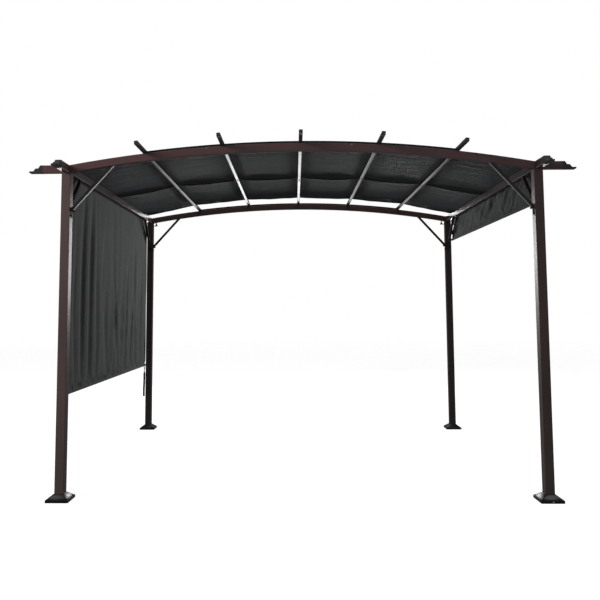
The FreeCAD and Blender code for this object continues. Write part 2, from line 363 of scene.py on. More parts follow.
def make_finishes():
    """Every material of the pergola, by the slot that it belongs to."""
    colours = bpy.context.scene.pergola_colours
    FINISHES.update(
        frame_paint=powder_coat("frame_paint", colours.frame_paint, 0.36, 0.12),
        post_paint=powder_coat("post_paint", colours.post_paint, 0.36, 0.12),
        rafter_paint=powder_coat("rafter_paint", colours.rafter_paint, 0.3, 0.08),
        foot_plastic=moulded_plastic("foot_plastic", colours.foot_plastic, 0.16, 0.00008),
        cap_plastic=moulded_plastic("cap_plastic", colours.cap_plastic, 0.5, 0.0002),
        strip_rubber=rubber_strip("strip_rubber", colours.strip_rubber),
        canopy_fabric=woven_cloth("canopy_fabric", colours.canopy_fabric, 620.0, 0.0004),
        rod_steel=powder_coat("rod_steel", colours.rod_steel, 0.34, 0.2),
        strap_webbing=ribbed_webbing("strap_webbing", colours.strap_webbing),
        screw_zinc=bare_metal("screw_zinc", (0.72, 0.72, 0.74), 0.28, 0.0001),
        bolt_black=bare_metal("bolt_black", (0.06, 0.06, 0.065), 0.4, 0.0001),
        sewing_thread=sewing_thread("sewing_thread", colours.canopy_fabric),
    )


NODE_FINISHES = {
    "post_paint": ("post_",),
    "frame_paint": ("beam_end_", "arch_beam_", "side_beam_"),
    "rafter_paint": ("arch_brace_", "side_brace_", "rafter_"),
    "foot_plastic": ("foot_cover_",),
    "cap_plastic": ("end_caps_",),
    "strip_rubber": ("arch_strip_",),
    "canopy_fabric": ("canopy_roof", "curtain_left", "valance_right"),
    "rod_steel": ("hem_rod_",),
    "strap_webbing": ("pull_straps",),
}


def paint_nodes():
    for name, node in frame["nodes"].items():
        for finish, starts in NODE_FINISHES.items():
            if name.startswith(starts):
                node.data.materials.clear()
                node.data.materials.append(FINISHES[finish])


# ---------------------------------------------------------------- mesh helpers


def mesh_object(name, points, faces, finish, sharp=35.0):
    """A linked object from points and faces, with merged seams and outward faces."""
    mesh = bpy.data.meshes.new(name)
    mesh.from_pydata([tuple(point) for point in points], [], faces)
    tidy_mesh(mesh)
    mesh.materials.append(FINISHES[finish])
    shade(mesh, sharp)
    piece = linked(name, mesh)
    return piece


def tidy_mesh(mesh):
    shape = bmesh.new()
    shape.from_mesh(mesh)
    bmesh.ops.remove_doubles(shape, verts=shape.verts, dist=0.000005)
    bmesh.ops.recalc_face_normals(shape, faces=shape.faces)
    shape.to_mesh(mesh)
    shape.free()


def lay_flat(mesh, layout):
    """Gives a sheet's points their places on the flat cloth, as its UV map."""
    uv = mesh.uv_layers.new(name="cloth")
    for loop in mesh.loops:
        uv.data[loop.index].uv = layout[loop.vertex_index]


def shade(mesh, sharp):
    mesh.shade_smooth()
    mesh.set_sharp_from_angle(angle=math.radians(sharp))


def loft(rings, closed=False, capped=True):
    """Points and faces of a skin through rings with the same number of points."""
    count = len(rings[0])
    points = [point for ring in rings for point in ring]
    faces = []
    last = len(rings) if closed else len(rings) - 1
    for row in range(last):
        low = row * count
        high = ((row + 1) % len(rings)) * count
        for step in range(count):
            after = (step + 1) % count
            faces.append((low + step, low + after, high + after, high + step))
    if capped and not closed:
        faces.append(tuple(range(count))[::-1])
        faces.append(tuple((len(rings) - 1) * count + step for step in range(count)))
    return points, faces


def rounded_square(half, radius, z, steps=6):
    """A square ring with rounded corners, level at z."""
    ring = []
    for quarter in range(4):
        turn = math.pi / 2 * quarter
        corner = Vector((half - radius, half - radius, 0))
        for step in range(steps + 1):
            angle = math.pi / 2 * step / steps
            point = corner + Vector((math.cos(angle), math.sin(angle), 0)) * radius
            ring.append(Matrix.Rotation(turn, 3, "Z") @ point + Vector((0, 0, z)))
    return ring


def square_rings(*rows):
    """Rounded squares from rows of half width, corner radius and height."""
    return [rounded_square(*row) for row in rows]


def turned_ring(radius, z, count, sides=0):
    """A level ring of points: round, or with the outline of a nut when it has sides."""
    ring = []
    for step in range(count):
        angle = 2 * math.pi * step / count
        reach = radius
        if sides:
            sector = 2 * math.pi / sides
            reach = radius * math.cos(sector / 2) / math.cos(angle % sector - sector / 2)
        ring.append(Vector((reach * math.cos(angle), reach * math.sin(angle), z)))
    return ring


def finish_piece(piece, slot, *replaced):
    """Rides a piece on the frame and hides the nodes that it replaces."""
    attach(piece, BODY)
    if replaced:
        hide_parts(*replaced)


def plain_mesh(piece):
    """Turns a piece's modifiers into its mesh."""
    bpy.context.view_layer.update()
    evaluated = piece.evaluated_get(bpy.context.evaluated_depsgraph_get())
    mesh = bpy.data.meshes.new_from_object(evaluated)
    mesh.name = piece.name
    piece.modifiers.clear()
    old = piece.data
    piece.data = mesh
    bpy.data.meshes.remove(old)


# ---------------------------------------------------------------- repeated parts


def new_tree(name, sockets):
    """A Geometry Nodes tree with its named inputs."""
    tree = bpy.data.node_groups.new(name, "GeometryNodeTree")
    tree.interface.new_socket("Geometry", in_out="INPUT", socket_type="NodeSocketGeometry")
    for label, kind in sockets:
        tree.interface.new_socket(label, in_out="INPUT", socket_type="NodeSocket" + kind)
    tree.interface.new_socket("Geometry", in_out="OUTPUT", socket_type="NodeSocketGeometry")
    return tree, Net(tree, "GeometryNode")


def read_vector(net, label):
    settings = {"data_type": "FLOAT_VECTOR"}
    return net.add("InputNamedAttribute", settings, {"Name": label}, out="Attribute")


def aim(net, axis, pivot, vector, rotation=None):
    inputs = {"Vector": vector}
    if rotation is not None:
        inputs["Rotation"] = rotation
    settings = {"axis": axis, "pivot_axis": pivot}
    return net.add("FunctionNodeAlignRotationToVector", settings, inputs)


def close_tree(net, copies, material):
    solid = net.add("RealizeInstances", {}, {"Geometry": copies})
    dressed = net.add("SetMaterial", {}, {"Geometry": solid, "Material": material})
    net.add("NodeGroupOutput", {}, {"Geometry": dressed})


def copies_tree():
    """One part copied to every point, its Z along the point's axis and its X along its side."""
    tree, net = new_tree("placed_copies", [("Part", "Object"), ("Finish", "Material")])
    given = net.add("NodeGroupInput", {}, {})
    rotation = aim(net, "Z", "AUTO", read_vector(net, "axis"))
    rotation = aim(net, "X", "Z", read_vector(net, "side"), rotation)
    part = net.add("ObjectInfo", {}, {"Object": given.out("Part")}, out="Geometry")
    inputs = {"Points": given.out("Geometry"), "Instance": part, "Rotation": rotation}
    copies = net.add("InstanceOnPoints", {}, inputs)
    close_tree(net, copies, given.out("Finish"))
    return tree


def stitches_tree():
    """Stitches laid end to end along seam lines, a little uneven in length."""
    sockets = [(label, "Float") for label in ("Pitch", "Length", "Width", "Height")]
    sockets += [("Seed", "Int"), ("Finish", "Material")]
    tree, net = new_tree("seam_stitches", sockets)
    given = net.add("NodeGroupInput", {}, {})
    line = net.add("MeshToCurve", {}, {"Mesh": given.out("Geometry")})
    settings = {"mode": "LENGTH"}
    points = net.add("CurveToPoints", settings, {"Curve": line, "Length": given.out("Pitch")})
    rotation = aim(net, "Z", "AUTO", points.out("Tangent"))
    rotation = aim(net, "Y", "Z", read_vector(net, "side"), rotation)
    spread = {2: 0.88, 3: 1.08, "Seed": given.out("Seed")}
    vary = net.add("FunctionNodeRandomValue", {"data_type": "FLOAT"}, spread, out=1)
    length = net.add("ShaderNodeMath", {"operation": "MULTIPLY"}, {0: vary, 1: given.out("Length")})
    inputs = {"X": given.out("Width"), "Y": given.out("Height"), "Z": length}
    scale = net.add("ShaderNodeCombineXYZ", {}, inputs)
    thread = net.add("MeshUVSphere", {}, {"Segments": 6, "Rings": 4, "Radius": 0.5})
    inputs = {"Points": points, "Instance": thread, "Rotation": rotation, "Scale": scale}
    copies = net.add("InstanceOnPoints", {}, inputs)
    close_tree(net, copies, given.out("Finish"))
    return tree


def run_tree(piece, tree, values):
    """Gives a piece a Geometry Nodes modifier, sets its inputs and keeps the result."""
    modifier = piece.modifiers.new(tree.name, "NODES")
    modifier.node_group = tree
    for item in tree.interface.items_tree:
        if item.in_out == "INPUT" and item.name in values:
            modifier[item.identifier] = values[item.name]
    piece.update_tag()
    plain_mesh(piece)


def points_object(name, places, edges=()):
    """Loose points, or joined lines, that carry an axis and a side direction each."""
    mesh = bpy.data.meshes.new(name)
    mesh.from_pydata([tuple(place[0]) for place in places], list(edges), [])
    for label, column in (("axis", 1), ("side", 2)):
        layer = mesh.attributes.new(label, "FLOAT_VECTOR", "POINT")
        flat = [part for place in places for part in place[column]]
        layer.data.foreach_set("vector", flat)
    piece = linked(name, mesh)
    return piece


def place_copies(name, part, places, finish, slot, *replaced):
    """Makes a finished piece from copies of a part, one at every place; the part is removed."""
    piece = points_object(name, places)
    run_tree(piece, copies_tree(), {"Part": part, "Finish": FINISHES[finish]})
    shade(piece.data, 35.0)
    old = part.data
    bpy.data.objects.remove(part)
    bpy.data.meshes.remove(old)
    finish_piece(piece, slot, *replaced)


def spun(seed):
    """A sideways direction for a screw's slot, different for each screw."""
    chance = random.Random(seed)
    return lambda axis: axis.orthogonal().normalized() @ Matrix.Rotation(
        chance.uniform(0, 2 * math.pi), 3, axis
    )


def pan_screw(name, radius, finish):
    """A domed head with a six-sided socket, its seat at z = 0."""
    count = 24
    height = radius * 0.62
    rings = [
        turned_ring(radius * 0.96, -radius * 0.1, count),
        turned_ring(radius, radius * 0.08, count),
        turned_ring(radius * 0.97, height * 0.45, count),
        turned_ring(radius * 0.84, height * 0.8, count),
        turned_ring(radius * 0.62, height, count),
        turned_ring(radius * 0.5, height, count, 6),
        turned_ring(radius * 0.46, height * 0.94, count, 6),
        turned_ring(radius * 0.44, height * 0.35, count, 6),
    ]
    points, faces = loft(rings)
    return mesh_object(name, points, faces, finish, 30.0)


def hex_bolt(name, radius, finish):
    """A six-sided bolt head on a round washer, its seat at z = 0."""
    count = 24
    rings = [
        turned_ring(radius * 1.36, -0.0004, count),
        turned_ring(radius * 1.4, 0.0003, count),
        turned_ring(radius * 1.4, 0.0012, count),
        turned_ring(radius * 1.34, 0.0016, count),
        turned_ring(radius * 1.0, 0.0016, count, 6),
        turned_ring(radius * 1.0, radius * 0.68, count, 6),
        turned_ring(radius * 0.86, radius * 0.8, count),
        turned_ring(radius * 0.7, radius * 0.82, count),
    ]
    points, faces = loft(rings)
    return mesh_object(name, points, faces, finish, 30.0)


# ---------------------------------------------------------------- canopy cloth


CORNER_RADIUS = 0.004
BAY_STEPS = 14
CURTAIN_STEPS = 68
VALANCE_STEPS = 14
HEM_STEPS = 220
SEAM_OFFSET = 0.006
SEAM_PINCH = 0.0016
EDGE_STITCH_INSET = 0.004
STITCH_LIFT = 0.0007
STITCH_PITCH = 0.0062
STITCH_LENGTH = 0.0046
STITCH_WIDTH = 0.0009
STITCH_PROUD = 0.0006
EDGE_FOLD = 0.0015
FOLD_STRENGTH = 0.62

CURTAIN_FOLDS = (
    # y, half width, depth, lean, how high it reaches
    (-0.96, 0.034, 0.018, -0.02, 0.80),
    (-0.82, 0.036, 0.028, 0.02, 1.15),
    (-0.66, 0.038, 0.030, 0.03, 1.02),
    (-0.50, 0.034, 0.012, -0.03, 1.10),
    (-0.38, 0.044, 0.024, 0.09, 0.80),
    (-0.16, 0.036, 0.015, -0.20, 0.55),
    (-0.02, 0.030, 0.013, 0.26, 0.50),
    (0.14, 0.036, 0.024, -0.26, 0.66),
    (0.36, 0.036, 0.026, 0.12, 0.72),
    (0.56, 0.034, 0.024, 0.24, 0.62),
    (0.76, 0.036, 0.020, -0.10, 0.92),
    (0.96, 0.036, 0.026, 0.05, 0.72),
)


def station(part, x, z, share, side=0):
    """One place on the cloth's path: its part of the canopy and how far through that part it is."""
    return {"part": part, "x": x, "z": z, "share": share, "side": side}


class Cloth:
    """One length of cloth: up the curtain, over the rafters and down the valance."""

    def __init__(self, sizes, shape):
        self.sizes = sizes
        self.shape = shape
        self.curtain_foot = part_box("hem_rod_left")[0].z
        self.valance_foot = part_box("hem_rod_right")[0].z
        left = [*self.sleeve(-1, self.curtain_foot), *self.drop(-1, self.curtain_foot, CURTAIN_STEPS)]
        right = [*self.sleeve(1, self.valance_foot), *self.drop(1, self.valance_foot, VALANCE_STEPS)]
        self.stations = [*left, *self.roof(), *reversed(right)]
        self.measure_path()

    def sleeve(self, side, foot):
        """The hem's flap and the turn round the rod."""
        shape = self.shape
        reach = self.sizes.rod_radius + shape.cloth_thickness * 0.75
        x = side * self.sizes.rod_x
        z = foot + self.sizes.rod_radius
        flap = shape.cloth_thickness * 1.25
        for share in (1.0, 0.82, 0.62, 0.44):
            height = foot + shape.hem_height * share
            bulge = self.sleeve_bulge(height - z, reach)
            yield station("flap", x - side * (flap + bulge), height, share, side)
        for step in range(9):
            angle = math.radians(35 - 250 * step / 8)
            across = x - side * reach * math.cos(angle)
            yield station("turn", across, z + reach * math.sin(angle), step / 8, side)
        for share in (0.44, 0.62, 0.82):
            height = foot + shape.hem_height * share
            bulge = self.sleeve_bulge(height - z, reach)
            yield station("hem", x + side * bulge, height, share, side)

    def sleeve_bulge(self, above, reach):
        """How far a hem layer still stands off above the rod."""
        return 0.7 * reach * max(0.0, 1 - above / (self.shape.hem_height * 0.72)) ** 2

    def drop(self, side, foot, steps):
        """The hanging cloth from its hem up to the outer top edge of the side beam."""
        x = side * self.sizes.rod_x
        bottom = foot + self.shape.hem_height
        top = self.corner()[1] - CORNER_RADIUS
        for step in range(steps + 1):
            share = step / steps
            yield station("drop", x, bottom + (top - bottom) * share, share, side)
        inner = x - side * CORNER_RADIUS
        for angle in (30, 60):
            turn = math.radians(angle)
            across = inner + side * CORNER_RADIUS * math.cos(turn)
            yield station("corner", across, top + CORNER_RADIUS * math.sin(turn), 1.0, side)

    def corner(self):
        """(x, z) where the cloth turns over a side beam, measured from the middle."""
        return self.sizes.rod_x, self.sizes.beam_top + self.shape.cloth_lift

    def roof(self):
        """Over the rafters, flat on each one and hanging a little between them."""
        sizes = self.sizes
        rest = sizes.seat_radius + sizes.rafter_height + self.shape.cloth_lift
        x, z = self.corner()
        ends = [(-x + CORNER_RADIUS, z)]
        for number in range(1, 6):
            angle = sizes.rafter_angle(number)
            half = (sizes.rafter_half + 0.0005) / rest
            for offset in (-half, half):
                point = sizes.on_arch(rest, angle + offset)
                ends.append((point.x, point.z))
        ends.append((x - CORNER_RADIUS, z))
        for bay in range(6):
            start = Vector(ends[2 * bay])
            finish = Vector(ends[2 * bay + 1])
            for step in range(BAY_STEPS + 1):
                share = step / BAY_STEPS
                point = start.lerp(finish, share)
                yield station("bay%d" % bay, point.x, point.y, share)

    def measure_path(self):
        """Adds each station's outward direction and its distance along the cloth."""
        length = 0.0
        total = len(self.stations)
        for index, here in enumerate(self.stations):
            before = self.stations[max(0, index - 1)]
            after = self.stations[min(total - 1, index + 1)]
            run = Vector((after["x"] - before["x"], after["z"] - before["z"])).normalized()
            here["out"] = Vector((-run.y, 0.0, run.x))
            if index:
                length += math.hypot(here["x"] - before["x"], here["z"] - before["z"])
            here["length"] = length

    def half_width(self, here):
        """Half the cloth's width: drawn in by tension over the crown, full at the rods."""
        shape = self.shape
        at_crown = shape.crown_width / 2
        at_beam = shape.beam_width / 2
        at_rod = shape.rod_width / 2
        if here["part"].startswith("bay") or here["part"] == "corner":
            return at_crown + (at_beam - at_crown) * (abs(here["x"]) / self.sizes.rod_x) ** 2.6
        if here["part"] == "drop":
            return at_rod + (at_beam - at_rod) * here["share"] ** 9
        return at_rod

    def centre(self, here):
        """Where the cloth's middle is, from front to back: it has slid forward on the rafters."""
        if here["part"].startswith("bay") or here["part"] == "corner":
            return self.shape.slide
        if here["part"] == "drop":
            return self.shape.slide * here["share"] ** 9
        return 0.0

    def rows(self, here):
        """The y of every row of cloth at one station, and which of them is the seam."""
        half = self.half_width(here)
        seam = self.centre(here)
        hem = self.shape.edge_hem
        near = self.shape.rows // 2
        inner = half - hem
        rows = [-half, -inner - EDGE_FOLD]
        rows += [-inner + (inner - SEAM_PINCH) * step / near for step in range(near + 1)]
        rows += [0.0]
        rows += [SEAM_PINCH + (inner - SEAM_PINCH) * step / near for step in range(near + 1)]
        rows += [inner + EDGE_FOLD, half]
        return [seam + row for row in rows], near + 3

    def lift(self, here, y, seam_row):
        """How far the cloth stands out from its plain path at one place."""
        part = here["part"]
        if part.startswith("bay"):
            return self.roof_sag(here, y, seam_row)
        if part in ("turn", "corner"):
            return 0.0
        return self.drop_folds(here, y)

    def roof_sag(self, here, y, seam_row):
        """How far the roof stands out between two rafters: its sag, wrinkles and seam."""
        shape = self.shape
        share = here["share"]
        hang = 4 * share * (1 - share)
        bay = int(here["part"][3:])
        x = here["x"]
        slack = 1.0 + 0.5 * noise.noise(Vector((bay * 3.7, y * 1.6, 2.0)))
        near_seam = math.exp(-(((y - shape.slide) / 0.07) ** 2))
        down = hang * (shape.roof_sag * slack + shape.seam_sag * near_seam)
        fine = noise.noise(Vector((x * 1.7, y * 17.0, 5.0)))
        fine += 0.5 * noise.noise(Vector((x * 3.1, y * 37.0, 9.0)))
        lines = noise.noise(Vector((x * 6.0 + y * 4.0, y * 9.0 - x * 1.5, 17.0)))
        down += hang**0.5 * (shape.roof_wrinkle * fine + 0.0012 * lines)
        if seam_row:
            down += shape.seam_pleat * min(1.0, 3.0 * hang)
        edge = min(1.0, (self.half_width(here) - abs(y - shape.slide)) / 0.18)
        down -= hang * 0.004 * (1 - edge) * noise.noise(Vector((x * 9.0, y, 3.0)))
        return -down

    def drop_folds(self, here, y):
        """Folds in a hanging part: gathered puckers low down, long folds above."""
        z = here["z"]
        side = here["side"]
        foot = self.curtain_foot if side < 0 else self.valance_foot
        above = max(0.0, z - foot - self.shape.hem_height * 0.5)
        pucker = math.exp(-above / 0.04) * self.shape.hem_pucker
        ripple = noise.noise(Vector((y * 46.0 + above * 12.0, above * 14.0, 21.0 + side)))
        out = pucker * ripple * min(1.0, here["share"] * 2 if here["part"] != "drop" else 1.0)
        if here["part"] != "drop":
            return out
        share = here["share"]
        if side < 0:
            return out + self.curtain_folds(y, share)
        return out + self.valance_folds(y, share)

    def curtain_folds(self, y, share):
        """Long upright folds that grow downwards, with crossing creases near the foot."""
        shape = self.shape
        held = math.sin(math.pi * min(1.0, share + 0.04)) ** 0.4
        low = (1 - share) ** 0.8
        folds = noise.noise(Vector((y * 3.1 + 0.4 * share, share * 0.8, 31.0)))
        folds += 0.5 * noise.noise(Vector((y * 8.0 - 0.9 * share, share * 1.9, 33.0)))
        out = shape.curtain_fold * folds * (0.15 + low) * held
        for where, wide, deep, lean, reach in CURTAIN_FOLDS:
            across = (y - where - lean * share) / wide
            grows = max(0.0, min(1.0, (reach - share) / 0.3))
            out += FOLD_STRENGTH * deep * math.exp(-across * across) * grows * held
        crossing = noise.noise(Vector((y * 8.0 + share * 12.0, share * 6.0 - y * 3.0, 37.0)))
        toward_back = max(0.0, min(1.0, (y + 0.3) / 0.5))
        out += 0.010 * crossing * max(0.0, 0.62 - share) * held * (0.4 + toward_back)
        gather = noise.noise(Vector((y * 15.0, share * 0.8, 35.0)))
        return out + 0.0035 * gather * max(0.0, share - 0.62) / 0.38

    def valance_folds(self, y, share):
        """Slanting gathers across the short drop."""
        held = math.sin(math.pi * min(1.0, share * 0.9 + 0.1)) ** 0.5
        slant = y * 9.0 + share * 2.4
        folds = noise.noise(Vector((slant, share * 0.9, 41.0)))
        folds += 0.6 * noise.noise(Vector((slant * 2.1 - share * 1.5, share * 1.6, 43.0)))
        folds += 0.35 * abs(noise.noise(Vector((slant * 1.4 + share * 3.0, 0.0, 45.0))))
        return self.shape.valance_fold * folds * held

    def point(self, here, y, seam_row=False, out=0.0):
        base = Vector((here["x"], y, here["z"]))
        return base + here["out"] * (self.lift(here, y, seam_row) + out)

    def normal(self, index, y):
        """The cloth's outward direction at a station and a y, with its folds."""
        here = self.stations[index]
        before = self.stations[max(0, index - 1)]
        after = self.stations[min(len(self.stations) - 1, index + 1)]
        along = self.point(after, y) - self.point(before, y)
        across = self.point(here, y + 0.004) - self.point(here, y - 0.004)
        return across.cross(along).normalized() * -1.0

    def mesh(self, name):
        """The sheet's mesh with its flat layout as a UV map and its doubled edges."""
        points, layout, weights = [], [], []
        rows = 0
        for here in self.stations:
            ys, seam_index = self.rows(here)
            rows = len(ys)
            for row, y in enumerate(ys):
                points.append(self.point(here, y, row == seam_index))
                layout.append((y, here["length"]))
                weights.append(1.0 if row in (0, 1, rows - 2, rows - 1) else 0.5)
        faces = []
        for line in range(len(self.stations) - 1):
            for row in range(rows - 1):
                low = line * rows + row
                faces.append((low, low + 1, low + rows + 1, low + rows))
        mesh = bpy.data.meshes.new(name)
        mesh.from_pydata([tuple(point) for point in points], [], faces)
        lay_flat(mesh, layout)
        return mesh, weights


def make_canopy():
    """The whole canopy sheet, with a real thickness and doubled edges."""
    shape = bpy.context.scene.pergola_sizes
    cloth = Cloth(FrameSizes(), shape)
    mesh, weights = cloth.mesh("canopy_cloth")
    mesh.materials.append(FINISHES["canopy_fabric"])
    piece = linked("canopy_cloth", mesh)
    group = piece.vertex_groups.new(name="doubled")
    for index, weight in enumerate(weights):
        group.add([index], weight, "REPLACE")
    skin = piece.modifiers.new("thickness", "SOLIDIFY")
    skin.thickness = shape.cloth_thickness * 2
    skin.offset = 0.0
    skin.vertex_group = "doubled"
    skin.use_even_offset = True
    plain_mesh(piece)
    shade(piece.data, 60.0)
    return piece, cloth


def seam_lines(cloth):
    """Rows of (point, axis, side) for every stitched line, with the joins between them."""
    shape = cloth.shape
    places, edges = [], []

    def lay(line):
        start = len(places)
        places.extend(line)
        edges.extend((start + step, start + step + 1) for step in range(len(line) - 1))

    def lay_along(across):
        """A line from hem to hem, a given distance from the cloth's middle at each station."""
        line = []
        for index, here in enumerate(cloth.stations):
            if here["part"] in ("flap", "turn", "hem"):
                continue
            y = cloth.centre(here) + across(here)
            out = cloth.normal(index, y)
            line.append((cloth.point(here, y), out, out))
        lay(line)

    for sign in (-1, 1):
        lay_along(lambda here: sign * (cloth.half_width(here) - shape.edge_hem + EDGE_STITCH_INSET))
    for offset in (-SEAM_OFFSET, SEAM_OFFSET):
        lay_along(lambda here: offset)
    for side in (-1, 1):
        index = hem_top(cloth, side)
        here = cloth.stations[index]
        half = cloth.half_width(here) - SEAM_OFFSET
        line = []
        for step in range(HEM_STEPS + 1):
            y = -half + 2 * half * step / HEM_STEPS
            out = cloth.normal(index, y)
            line.append((cloth.point(here, y, out=STITCH_LIFT), out, out))
        lay(line)
    return places, edges


def hem_top(cloth, side):
    """The number of the station where one end's hem is sewn down."""
    for index, here in enumerate(cloth.stations):
        if here["side"] == side and here["part"] == "hem" and here["share"] > 0.8:
            return index


def make_stitching(cloth):
    """Thread along the hems, the long edges and the middle seam."""
    places, edges = seam_lines(cloth)
    piece = points_object("canopy_stitching", places, edges)
    values = {
        "Pitch": STITCH_PITCH,
        "Length": STITCH_LENGTH,
        "Width": STITCH_WIDTH,
        "Height": cloth.shape.cloth_thickness * 2 + STITCH_PROUD,
        "Seed": 4,
        "Finish": FINISHES["sewing_thread"],
    }
    run_tree(piece, stitches_tree(), values)
    shade(piece.data, 80.0)
    return piece


WEBBING_HALF = 0.010
WEBBING_THICKNESS = 0.0014
WEBBING_THREADS = 4


def make_webbing(cloth):
    """Webbing down both edges of the curtain, looped over the left rod's ends, with free tails."""
    sizes = cloth.sizes
    low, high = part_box("pull_straps")
    rod_z = cloth.curtain_foot + sizes.rod_radius
    edge = abs(high.y) - WEBBING_HALF
    runs = [(sign, webbing_line(sizes, rod_z, low.z, sign)) for sign in (-1, 1)]
    runs += [(sign, webbing_rise(sizes, rod_z, high.z, sign)) for sign in (-1, 1)]
    points, faces, layout = [], [], []
    for sign, line in runs:
        add_ribbon(points, faces, layout, line, sign, sign * edge)
    mesh = bpy.data.meshes.new("webbing_tails")
    mesh.from_pydata([tuple(point) for point in points], [], faces)
    lay_flat(mesh, layout)
    mesh.materials.append(FINISHES["strap_webbing"])
    piece = linked("webbing_tails", mesh)
    skin = piece.modifiers.new("thickness", "SOLIDIFY")
    skin.thickness = WEBBING_THICKNESS
    skin.offset = 0.0
    round_off = piece.modifiers.new("soft", "SUBSURF")
    round_off.levels = round_off.render_levels = 1
    plain_mesh(piece)
    shade(piece.data, 50.0)
    return piece


def add_ribbon(points, faces, layout, line, sign, y):
    """Adds the flat strip that follows one webbing line to the lists of a mesh."""
    start = len(points)
    run = 0.0
    across_count = WEBBING_THREADS + 1
    for index, (x, z, (drift, turn)) in enumerate(line):
        if index:
            run += math.hypot(x - line[index - 1][0], z - line[index - 1][1])
        for column in range(across_count):
            across = (column - WEBBING_THREADS / 2) / (WEBBING_THREADS / 2) * WEBBING_HALF
            side = x + across * math.sin(turn)
            points.append(Vector((side, y + drift + across * math.cos(turn), z)))
            layout.append((across * WEBBING_HALF + sign * 0.1, run))
    for row in range(len(line) - 1):
        for column in range(WEBBING_THREADS):
            a = start + row * across_count + column
            faces.append((a, a + 1, a + across_count + 1, a + across_count))


def webbing_line(sizes, rod_z, foot, sign):
    """(x, z, (sideways drift, twist)) down a tail: a sewn loop over the rod, then the drop."""
    x = -sizes.rod_x
    reach = sizes.rod_radius + 0.0012
    still = (0.0, 0.0)
    loop = (-0.052, -0.035, -0.02)
    line = []
    for down in loop:
        open_up = reach * 0.3 * max(0.0, (down + 0.045) / 0.03)
        line.append((x + 0.0022 + open_up, rod_z + down, still))
    for step in range(11):
        angle = math.radians(-35 + 250 * step / 10)
        line.append((x + reach * math.cos(angle), rod_z + reach * math.sin(angle), still))
    for down in reversed(loop):
        open_up = reach * 0.3 * max(0.0, (down + 0.045) / 0.03)
        line.append((x - 0.0002 - open_up, rod_z + down, still))
    top = rod_z - 0.06
    steps = 26
    for step in range(steps + 1):
        share = step / steps
        drift = 0.002 * math.sin(share * 3.4 + sign) * share
        quarter = sign * math.pi / 2 * (1 - (1 - min(1.0, share / 0.3)) ** 2)
        turn = quarter + 0.3 * math.sin(share * 6.0) * share
        sway = 0.003 * math.sin(share * 5.0 + sign) * share
        line.append((x + sway, top + (foot + 0.001 - top) * share, (drift, turn)))
    return line


def webbing_rise(sizes, rod_z, top, sign):
    """(x, z, (drift, twist)) from the loop on the rod up the curtain's edge to the beam."""
    foot = rod_z + sizes.rod_radius + 0.0026
    line = []
    steps = 60
    for step in range(steps + 1):
        share = step / steps
        held = math.sin(math.pi * share)
        drift = 0.0016 * held * math.sin(share * 9.0 + sign)
        ends = min(1.0, share / 0.05, (1 - share) / 0.05)
        turn = sign * math.pi / 2 * ends + 0.14 * held * math.sin(share * 7.0)
        sway = 0.0012 * held * math.sin(share * 13.0)
        line.append((-sizes.rod_x + sway, foot + (top - foot) * share, (drift, turn)))
    return line


# ---------------------------------------------------------------- hardware


SKIRT_HEIGHT = 0.019
COVER_SCREW_RADIUS = 0.0058
COVER_SCREW_HEIGHT = 0.0098
POST_HALF = 0.030
BRACE_HALF = 0.010
TAB_THICKNESS = 0.003
TAB_BOLT_HEIGHT = 0.0145
CROSS_BOLT_HEIGHT = 0.0465
CROSS_BOLT_REACH = 0.0125
BOLT_RADIUS = 0.0062
BEAM_SCREW_RADIUS = 0.0048
# x of each screw on an arch beam, and how far it is below the beam's top edge
BEAM_SCREW_SPOTS = ((-0.635, 0.0085), (0.345, 0.0080))
COLLAR_WIDTH = 0.006
COLLAR_GROWTH = 0.0009
JOINT_SCREW_RADIUS = 0.0042
JOINT_SCREW_OFFSETS = (-0.022, 0.028)
ROD_PLUG_COVER = 0.012
CAP_EDGE_WIDTH = 0.0014


